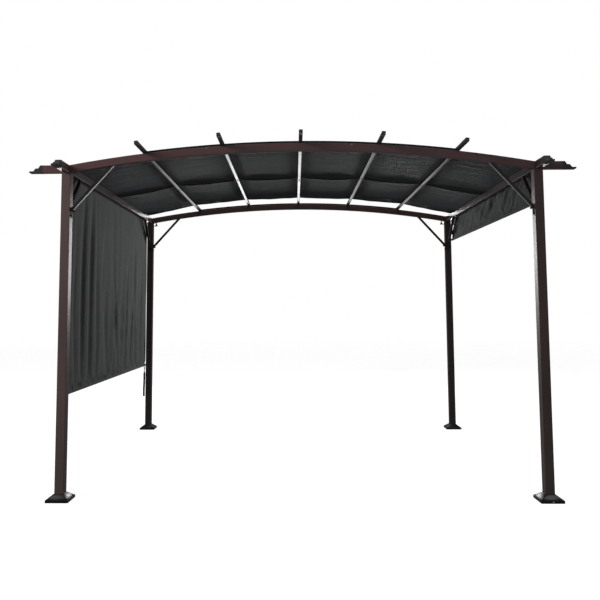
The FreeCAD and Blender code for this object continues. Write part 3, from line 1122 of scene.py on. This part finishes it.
def make_foot_covers():
    """Moulded covers over the base plates: a skirt, a crease and a sloping top."""
    sizes = FrameSizes()
    low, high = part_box("foot_cover_front_left")
    half = (high.x - low.x) / 2
    height = high.z
    bore = (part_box("arch_brace_front_left")[0].x - sizes.posts["front_left"].x) + 0.0005
    skirt = SKIRT_HEIGHT
    rings = square_rings(
        (half - 0.0008, 0.006, 0.0),
        (half, 0.0066, 0.001),
        (half, 0.0066, skirt - 0.005),
        (half - 0.0007, 0.0064, skirt - 0.0034),
        (half - 0.0030, 0.0060, skirt - 0.0008),
        (half - 0.0040, 0.0056, skirt - 0.0006),
        (half - 0.0046, 0.0054, skirt - 0.0018),
        (half - 0.0058, 0.0052, skirt - 0.0016),
        (half - 0.0068, 0.0052, skirt + 0.0006),
        (bore + 0.0052, 0.0050, height - 0.0022),
        (bore + 0.0038, 0.0046, height - 0.0006),
        (bore + 0.0026, 0.0042, height),
        (bore + 0.0006, 0.0036, height - 0.0002),
        (bore, 0.0034, height - 0.0010),
        (bore, 0.0034, height - 0.0036),
        (half - 0.0098, 0.0040, skirt - 0.0022),
        (half - 0.0032, 0.0046, skirt - 0.0060),
        (half - 0.0030, 0.0046, 0.0),
    )
    points, faces = loft(rings, closed=True)
    cover = mesh_object("cover_form", points, faces, "foot_plastic", 28.0)
    places = []
    for post in sizes.posts.values():
        places.append((Vector((post.x, post.y, 0)), Vector((0, 0, 1)), Vector((1, 0, 0))))
    nodes = ["foot_cover_" + corner for corner in CORNERS]
    place_copies("foot_covers", cover, places, "foot_plastic", "foot_plastic", *nodes)
    screw = pan_screw("screw_form", COVER_SCREW_RADIUS, "screw_zinc")
    facing = {
        "front_right": (0, -1),
        "back_right": (1, 0),
        "back_left": (0, 1),
        "front_left": (-1, 0),
    }
    turn = spun(7)
    places = []
    for corner, (dx, dy) in facing.items():
        post = sizes.posts[corner]
        axis = Vector((dx, dy, 0))
        place = Vector((post.x, post.y, COVER_SCREW_HEIGHT)) + axis * half
        places.append((place, axis, turn(axis)))
    place_copies("foot_cover_screws", screw, places, "screw_zinc", "foot_plastic")


def brace_frames(sizes):
    """For each brace: the foot of its tab on the post face, the way it leans and the way across."""
    frames = []
    for corner in CORNERS:
        post = sizes.posts[corner]
        inward = (Vector((math.copysign(1, -post.x), 0, 0)), Vector((0, math.copysign(1, -post.y), 0)))
        for name, out in zip(("arch_brace_", "side_brace_"), inward):
            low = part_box(name + corner)[0].z
            face = Vector((post.x, post.y, low)) + out * POST_HALF
            frames.append((face, out, Vector((0, 0, 1)).cross(out)))
    return frames


def make_brace_bolts():
    """A bolt in each brace tab, and one across each brace's foot with a head on both sides."""
    turn = spun(11)
    tab_places, cross_places = [], []
    for face, out, across in brace_frames(FrameSizes()):
        place = face + out * TAB_THICKNESS + Vector((0, 0, TAB_BOLT_HEIGHT))
        tab_places.append((place, out, turn(out)))
        for sign in (-1, 1):
            axis = across * sign
            place = face + out * CROSS_BOLT_REACH + axis * BRACE_HALF
            cross_places.append((place + Vector((0, 0, CROSS_BOLT_HEIGHT)), axis, turn(axis)))
    bolt = hex_bolt("bolt_form", BOLT_RADIUS, "bolt_black")
    place_copies("brace_bolts", bolt, tab_places + cross_places, "bolt_black", "rafter_paint")


def make_beam_screws():
    """Screws on the arch beams' outer faces, near the top edge."""
    sizes = FrameSizes()
    turn = spun(13)
    places = []
    for sign in (-1, 1):
        axis = Vector((0, sign, 0))
        for x, down in BEAM_SCREW_SPOTS:
            angle = math.asin(x / sizes.seat_radius)
            face_y = sign * (sizes.post_y + sizes.beam_half)
            place = sizes.on_arch(sizes.seat_radius - down, angle, face_y)
            places.append((place, axis, turn(axis)))
    screw = pan_screw("screw_form", BEAM_SCREW_RADIUS, "screw_zinc")
    place_copies("beam_screws", screw, places, "screw_zinc", "frame_paint")


def make_rafter_ends():
    """Plastic plugs in the rafters' open ends, with rounded edges."""
    sizes = FrameSizes()
    depth = sizes.reach_y - sizes.rafter_end
    half = sizes.rafter_half
    rings = square_rings(
        (half - 0.0006, 0.0018, -0.0004),
        (half, 0.0022, 0.0),
        (half, 0.0022, max(0.0004, depth - 0.0012)),
        (half - 0.0004, 0.0022, depth - 0.0005),
        (half - 0.0014, 0.0018, depth),
        (half - 0.0050, 0.0014, depth),
        (half - 0.0056, 0.0012, depth - 0.0004),
    )
    points, faces = loft(rings)
    plug = mesh_object("plug_form", points, faces, "cap_plastic", 30.0)
    places = []
    for number in range(1, 6):
        angle = sizes.rafter_angle(number)
        centre = sizes.on_arch(sizes.seat_radius + sizes.rafter_height / 2, angle)
        side = Vector((math.cos(angle), 0, -math.sin(angle)))
        for sign in (-1, 1):
            place = Vector((centre.x, sign * sizes.rafter_end, centre.z))
            places.append((place, Vector((0, sign, 0)), side))
    place_copies("rafter_plugs", plug, places, "cap_plastic", "cap_plastic")


def make_rafter_joints():
    """A thin sleeve round each rafter where its halves meet, and a screw beside it."""
    sizes = FrameSizes()
    half = sizes.rafter_half
    collar_half = half + COLLAR_GROWTH
    rings = square_rings(
        (half - 0.001, 0.0016, 0.0),
        (collar_half - 0.0003, 0.0024, 0.0),
        (collar_half, 0.0026, 0.0003),
        (collar_half, 0.0026, COLLAR_WIDTH - 0.0003),
        (collar_half - 0.0003, 0.0024, COLLAR_WIDTH),
        (half - 0.001, 0.0016, COLLAR_WIDTH),
    )
    points, faces = loft(rings, closed=True)
    collar = mesh_object("collar_form", points, faces, "cap_plastic", 30.0)
    screw = pan_screw("screw_form", JOINT_SCREW_RADIUS, "bolt_black")
    turn = spun(17)
    places, screw_places = [], []
    for number in range(1, 6):
        angle = sizes.rafter_angle(number)
        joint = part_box("rafter_%d_front" % number)[1].y
        side = Vector((math.cos(angle), 0, -math.sin(angle)))
        down = Vector((-math.sin(angle), 0, -math.cos(angle)))
        centre = sizes.on_arch(sizes.seat_radius + sizes.rafter_height / 2, angle)
        places.append((Vector((centre.x, joint - COLLAR_WIDTH / 2, centre.z)), Vector((0, 1, 0)), side))
        under = sizes.on_arch(sizes.seat_radius, angle)
        for offset in JOINT_SCREW_OFFSETS:
            screw_places.append((Vector((under.x, joint + offset, under.z)), down, turn(down)))
    place_copies("rafter_collars", collar, places, "cap_plastic", "cap_plastic")
    place_copies("rafter_screws", screw, screw_places, "bolt_black", "rafter_paint")


def make_rod_ends():
    """Rounded plugs over the ends of both hem rods."""
    sizes = FrameSizes()
    radius = sizes.rod_radius
    rings = [
        turned_ring(radius - 0.0005, 0.0, 28),
        turned_ring(radius + 0.0008, -0.0004, 28),
        turned_ring(radius + 0.0014, 0.0004, 28),
        turned_ring(radius + 0.0014, ROD_PLUG_COVER, 28),
        turned_ring(radius + 0.0004, 0.0148, 28),
        turned_ring(radius - 0.0020, 0.0164, 28),
        turned_ring(radius - 0.0050, 0.0170, 28),
    ]
    points, faces = loft(rings)
    plug = mesh_object("rod_plug_form", points, faces, "cap_plastic", 30.0)
    places = []
    for side in SIDES:
        low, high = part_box("hem_rod_" + side)
        centre = middle(low, high)
        for sign in (-1, 1):
            place = Vector((centre.x, sign * (high.y - ROD_PLUG_COVER), centre.z))
            places.append((place, Vector((0, sign, 0)), Vector((1, 0, 0))))
    place_copies("rod_plugs", plug, places, "cap_plastic", "cap_plastic")


def make_end_caps():
    """The stepped beam caps with softened edges."""
    for end in ENDS:
        source = frame["nodes"]["end_caps_" + end]
        mesh = source.data.copy()
        mesh.name = "stepped_caps_" + end
        shape = bmesh.new()
        shape.from_mesh(mesh)
        bmesh.ops.remove_doubles(shape, verts=shape.verts, dist=0.00001)
        bmesh.ops.dissolve_limit(
            shape, angle_limit=math.radians(0.5), verts=shape.verts, edges=shape.edges
        )
        shape.to_mesh(mesh)
        shape.free()
        piece = linked(mesh.name, mesh)
        edge = piece.modifiers.new("soft_edges", "BEVEL")
        edge.width = CAP_EDGE_WIDTH
        edge.segments = 3
        edge.limit_method = "ANGLE"
        edge.angle_limit = math.radians(40)
        plain_mesh(piece)
        piece.data.materials.clear()
        piece.data.materials.append(FINISHES["cap_plastic"])
        shade(piece.data, 35.0)
        finish_piece(piece, "cap_plastic", "end_caps_" + end)


# ---------------------------------------------------------------- stage


def area_light(name, place, target, width, height, power):
    light = bpy.data.lights.new(name, "AREA")
    light.shape = "RECTANGLE"
    light.size = width
    light.size_y = height
    light.energy = power
    lamp = linked(name, light)
    lamp.location = place
    lamp.rotation_euler = (Vector(target) - Vector(place)).to_track_quat("-Z", "Y").to_euler()
    lamp.visible_camera = False
    return lamp


FLOOR_RADIUS = 24.0
FLOOR_HEIGHT = -0.0005
FLOOR_SIDES = 96


def make_floor():
    """A pale round floor that fades out far from the pergola."""
    material, net = new_material("studio_floor")
    place = object_place(net)
    speckle = noise_level(net, place, 40.0, 4.0, 0.6)
    cloud = noise_level(net, place, 0.4, 3.0)
    tone = between(net, cloud * 0.7 + speckle * 0.3, 0.3, 0.7, 0.0, 1.0)
    colour = blend_colours(net, tone, (0.24, 0.24, 0.24, 1.0), (0.26, 0.26, 0.26, 1.0))
    shader = net.add("BsdfDiffuse", {}, {"Color": colour, "Roughness": 0.9})
    glow = net.add("Emission", {}, {"Color": (1, 1, 1, 1), "Strength": 0.92})
    lit = net.add("AddShader", {}, {0: shader, 1: glow})
    away = net.add("VectorMath", {"operation": "LENGTH"}, {0: place}, out="Value")
    fade = between(net, away, 7.0, 22.0, 0.0, 1.0)
    clear = net.add("BsdfTransparent", {}, {})
    mixed = net.add("MixShader", {}, {0: fade, 1: lit, 2: clear})
    net.add("OutputMaterial", {}, {"Surface": mixed})
    mesh = bpy.data.meshes.new("floor")
    ring = turned_ring(FLOOR_RADIUS, FLOOR_HEIGHT, FLOOR_SIDES)
    mesh.from_pydata([tuple(point) for point in ring], [], [tuple(range(FLOOR_SIDES))])
    mesh.materials.append(material)
    floor = linked("floor", mesh)
    floor.visible_diffuse = False
    floor.visible_glossy = False


def make_surroundings():
    world = bpy.data.worlds.new("studio")
    bpy.context.scene.world = world
    world.use_nodes = True
    world.node_tree.nodes.clear()
    net = Net(world.node_tree)
    seen = net.add("LightPath", {}, {}, out="Is Camera Ray")
    plain = net.add("Background", {}, {"Color": (1, 1, 1, 1), "Strength": 1.0})
    soft = net.add("Background", {}, {"Color": (0.96, 0.98, 1.0, 1), "Strength": 0.14})
    mixed = net.add("MixShader", {}, {0: seen, 1: soft, 2: plain})
    net.add("OutputWorld", {}, {"Surface": mixed})


def lit_by(lamp, *starts):
    """Limits a lamp to the objects whose names start in one of these ways."""
    group = bpy.data.collections.new(lamp.name + "_reach")
    for item in bpy.context.scene.objects:
        if item.type == "MESH" and item.name.startswith(starts):
            group.objects.link(item)
    lamp.light_linking.receiver_collection = group


FRONT_PARTS = (
    "arch_beam_front", "beam_end_front", "stepped_caps_front", "rafter", "arch_brace_front",
    "side_brace_front", "arch_strip_front", "beam_screws", "brace_bolts", "rod", "hem",
    "webbing", "floor",
)
CLOTH_PARTS = ("canopy", "hem_rod", "rod_plugs", "floor")


def soft_light(name, place, target, width, height, power, *parts):
    """A lamp that lights some of the pieces and isn't seen in their gloss."""
    lamp = area_light(name, place, target, width, height, power)
    lamp.visible_glossy = False
    lit_by(lamp, *parts)


def window_light(name, place, width, height, power, *parts, target=None):
    """A lamp behind the pergola, or over it, that only shows in the gloss of some pieces."""
    straight = (place[0], 0.0, place[2])
    lamp = area_light(name, place, target or straight, width, height, power)
    lamp.visible_diffuse = False
    lit_by(lamp, *parts)


def make_lights():
    """Soft lamps in front, lamps across the cloth, and windows that show in the painted steel."""
    soft_light("key", (-4.4, -4.6, 3.4), (-0.4, -0.8, 2.1), 2.0, 1.6, 165, *FRONT_PARTS)
    soft_light("post_key", (-3.7, -4.0, 2.9), (-1.6, -1.3, 1.7), 1.2, 1.2, 150, "post_front")
    for side, rake_power, fill_power in ((-1, 235, 45), (1, 210, 60)):
        place = (side * -1.7, 5.6, 2.05)
        rake = area_light("rake_%d" % side, place, (side * 1.6, 0.0, 1.6), 0.6, 0.6, rake_power)
        lit_by(rake, *CLOTH_PARTS)
        place = (side * -4.4, -4.4, 2.2)
        fill = area_light("fill_%d" % side, place, (side * 1.6, 0.0, 1.8), 0.8, 0.8, fill_power)
        lit_by(fill, *CLOTH_PARTS)
    front = area_light("front", (0.5, -8.0, 1.2), (0.0, 0.0, 1.2), 5.0, 2.4, 36)
    lit_by(front, "canopy", *FRONT_PARTS)
    window_light("window_left", (-1.75, 6.2, 2.35), 2.1, 1.8, 100, "post_front", "brace_bolts")
    window_light("window_right", (1.75, 6.2, 2.35), 2.1, 1.8, 100, "post_front", "brace_bolts")
    for side in (-1, 1):
        over = (side * 3.9, -3.0, 6.0)
        sill = (side * -0.6, 6.2, 2.5)
        foot = (side * 1.6, -1.3, 0.0)
        window_light("ledge_%d" % side, over, 1.6, 1.2, 10, "foot", target=foot)
        window_light("sill_%d" % side, sill, 0.7, 0.6, 14, "foot", target=(side * 1.5, -1.3, 0.0))
    window_light("window_crown", (0.0, 6.2, 3.0), 1.5, 0.6, 34, "side_beam")
    window_light("low_window", (-0.5, 6.2, 0.95), 1.8, 1.3, 48, "rafter")
    window_light("wide_window", (0.0, 6.2, 0.95), 4.6, 1.3, 26, "rafter")
    for side, end, power in ((-1, "left", 110), (1, "right", 40)):
        window_light("edge_" + end, (side * 3.2, 6.0, 1.1), 2.4, 1.7, 150, "side_beam")
        parts = ("arch_brace_front_" + end, "side_brace")
        window_light("brace_light_" + end, (side * 1.3, 6.0, 0.9), 3.4, 2.4, power, *parts)
    behind_parts = ("post", "arch", "beam", "stepped", "foot", "side", "brace", "hem", "rod")
    soft_light("behind", (0.5, 7.0, 2.2), (0.0, 0.0, 1.6), 4.0, 3.0, 110, *behind_parts)
    area_light("top", (0.0, 0.5, 6.0), (0.0, 0.0, 2.0), 5.0, 4.0, 90)


def make_camera():
    camera = bpy.data.cameras.new("camera")
    camera.sensor_width = 36.0
    camera.lens = 38.79
    camera.shift_x = 0.0291
    camera.shift_y = -0.0706
    eye = linked("camera", camera)
    turn = Matrix.Rotation(0.0183, 4, "Z")
    tilt = Matrix.Rotation(math.pi / 2 + 0.0809, 4, "X")
    roll = Matrix.Rotation(-0.0044, 4, "Z")
    eye.matrix_world = Matrix.Translation((-0.0459, -5.5522, 1.2224)) @ turn @ tilt @ roll
    bpy.context.scene.camera = eye


# ---------------------------------------------------------------- settings


def length_setting(label, text, size):
    return FloatProperty(
        name=label, description=text, default=size, unit="LENGTH", subtype="DISTANCE"
    )


def colour_setting(label, text, colour):
    return FloatVectorProperty(
        name=label, description=text, default=colour, size=3, min=0.0, max=1.0, subtype="COLOR"
    )


class PergolaSizes(bpy.types.PropertyGroup):
    """Sizes of the cloth and of how it hangs."""

    arch_rise: length_setting("Arch rise", "Rise of the arch beams' underside", 0.139)
    cloth_thickness: length_setting("Cloth thickness", "Thickness of one layer of cloth", 0.0012)
    cloth_lift: length_setting("Cloth lift", "Height of the cloth over what it lies on", 0.0014)
    crown_width: length_setting("Width at the crown", "Cloth width over the middle rafter", 2.088)
    beam_width: length_setting("Width at the beams", "Cloth width over the side beams", 2.296)
    rod_width: length_setting("Width at the rods", "Cloth width at the hem rods", 2.30)
    hem_height: length_setting("Hem height", "Height of the sewn hems over the rods", 0.056)
    edge_hem: length_setting("Edge hem", "Width of the doubled long edges", 0.022)
    slide: length_setting("Slide", "Place of the cloth's middle seam, from front to back", -0.054)
    seam_pleat: length_setting("Seam pleat", "How far the middle seam's lap hangs down", 0.008)
    seam_sag: length_setting("Seam sag", "Extra sag beside the middle seam", 0.007)
    roof_sag: length_setting("Roof sag", "Sag of the cloth between two rafters", 0.0045)
    roof_wrinkle: length_setting("Roof wrinkles", "Depth of the roof's fine wrinkles", 0.0013)
    curtain_fold: length_setting("Curtain folds", "Depth of the curtain's long folds", 0.022)
    valance_fold: length_setting("Valance folds", "Depth of the valance's gathers", 0.022)
    hem_pucker: length_setting("Hem puckers", "Depth of the puckers along the hems", 0.013)
    rows: IntProperty(
        name="Cloth rows", description="Rows of cloth from front to back", default=208, min=20
    )


class PergolaColours(bpy.types.PropertyGroup):
    """Colours of the finishes."""

    frame_paint: colour_setting("Frame paint", "Beams", (0.098, 0.051, 0.051))
    post_paint: colour_setting("Post paint", "Posts", (0.074, 0.050, 0.047))
    rafter_paint: colour_setting("Rafter paint", "Rafters and braces", (0.020, 0.017, 0.016))
    foot_plastic: colour_setting("Foot covers", "Glossy covers at the feet", (0.006, 0.006, 0.0065))
    cap_plastic: colour_setting("End caps", "Stepped caps and plugs", (0.040, 0.035, 0.037))
    strip_rubber: colour_setting("Arch strip", "Strip on top of the arches", (0.006, 0.006, 0.0065))
    canopy_fabric: colour_setting("Cloth", "Canopy, curtain and valance", (0.026, 0.0275, 0.028))
    rod_steel: colour_setting("Hem rods", "Rods in the hems", (0.012, 0.012, 0.012))
    strap_webbing: colour_setting("Webbing", "Straps beside the curtain", (0.006, 0.006, 0.006))


# ---------------------------------------------------------------- operators


class PERGOLA_OT_finishes(bpy.types.Operator):
    """Make every finish and paint the steel frame's nodes"""

    bl_idname = "pergola.finishes"
    bl_label = "Finishes"

    def execute(self, context):
        make_finishes()
        paint_nodes()
        return {"FINISHED"}


class PERGOLA_OT_canopy(bpy.types.Operator):
    """Make the canopy cloth with its stitching and webbing tails"""

    bl_idname = "pergola.canopy"
    bl_label = "Canopy"

    def execute(self, context):
        piece, cloth = make_canopy()
        finish_piece(piece, "canopy_fabric", "canopy_roof", "curtain_left", "valance_right")
        stitching = make_stitching(cloth)
        finish_piece(stitching, "canopy_fabric")
        tails = make_webbing(cloth)
        finish_piece(tails, "strap_webbing", "pull_straps")
        return {"FINISHED"}


class PERGOLA_OT_foot_covers(bpy.types.Operator):
    """Make the moulded covers at the feet and their screws"""

    bl_idname = "pergola.foot_covers"
    bl_label = "Foot covers"

    def execute(self, context):
        make_foot_covers()
        return {"FINISHED"}


class PERGOLA_OT_end_caps(bpy.types.Operator):
    """Make the stepped caps on the beam ends"""

    bl_idname = "pergola.end_caps"
    bl_label = "End caps"

    def execute(self, context):
        make_end_caps()
        return {"FINISHED"}


class PERGOLA_OT_rafter_fittings(bpy.types.Operator):
    """Make the rafters' plugs, joint collars and screws"""

    bl_idname = "pergola.rafter_fittings"
    bl_label = "Rafter fittings"

    def execute(self, context):
        make_rafter_ends()
        make_rafter_joints()
        return {"FINISHED"}


class PERGOLA_OT_rod_ends(bpy.types.Operator):
    """Make the plugs on the hem rods"""

    bl_idname = "pergola.rod_ends"
    bl_label = "Rod ends"

    def execute(self, context):
        make_rod_ends()
        return {"FINISHED"}


class PERGOLA_OT_bolts(bpy.types.Operator):
    """Make the bolts of the braces and the screws of the arch beams"""

    bl_idname = "pergola.bolts"
    bl_label = "Bolts and screws"

    def execute(self, context):
        make_brace_bolts()
        make_beam_screws()
        return {"FINISHED"}


class PERGOLA_OT_stage(bpy.types.Operator):
    """Make the floor, the surroundings, the lights and the camera"""

    bl_idname = "pergola.stage"
    bl_label = "Stage"

    def execute(self, context):
        make_floor()
        make_surroundings()
        make_lights()
        make_camera()
        context.scene.view_settings.view_transform = "Standard"
        return {"FINISHED"}


OPERATORS = (
    PERGOLA_OT_finishes,
    PERGOLA_OT_canopy,
    PERGOLA_OT_foot_covers,
    PERGOLA_OT_end_caps,
    PERGOLA_OT_rafter_fittings,
    PERGOLA_OT_rod_ends,
    PERGOLA_OT_bolts,
    PERGOLA_OT_stage,
)


class PERGOLA_PT_panel(bpy.types.Panel):
    """Pergola pieces, sizes and colours"""

    bl_label = "Pergola"
    bl_idname = "PERGOLA_PT_panel"
    bl_space_type = "VIEW_3D"
    bl_region_type = "UI"
    bl_category = "Pergola"

    def draw(self, context):
        for operator in OPERATORS:
            self.layout.operator(operator.bl_idname)
        for group in (context.scene.pergola_sizes, context.scene.pergola_colours):
            box = self.layout.box()
            for label in group.__annotations__:
                box.prop(group, label)


CLASSES = (PergolaSizes, PergolaColours, *OPERATORS, PERGOLA_PT_panel)


def register():
    for item in CLASSES:
        bpy.utils.register_class(item)
    bpy.types.Scene.pergola_sizes = PointerProperty(type=PergolaSizes)
    bpy.types.Scene.pergola_colours = PointerProperty(type=PergolaColours)


def unregister():
    del bpy.types.Scene.pergola_colours
    del bpy.types.Scene.pergola_sizes
    for item in reversed(CLASSES):
        bpy.utils.unregister_class(item)


def main():
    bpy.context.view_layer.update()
    register()
    for operator in OPERATORS:
        group, name = operator.bl_idname.split(".")
        getattr(getattr(bpy.ops, group), name)()


if __name__ == "__main__":
    main()
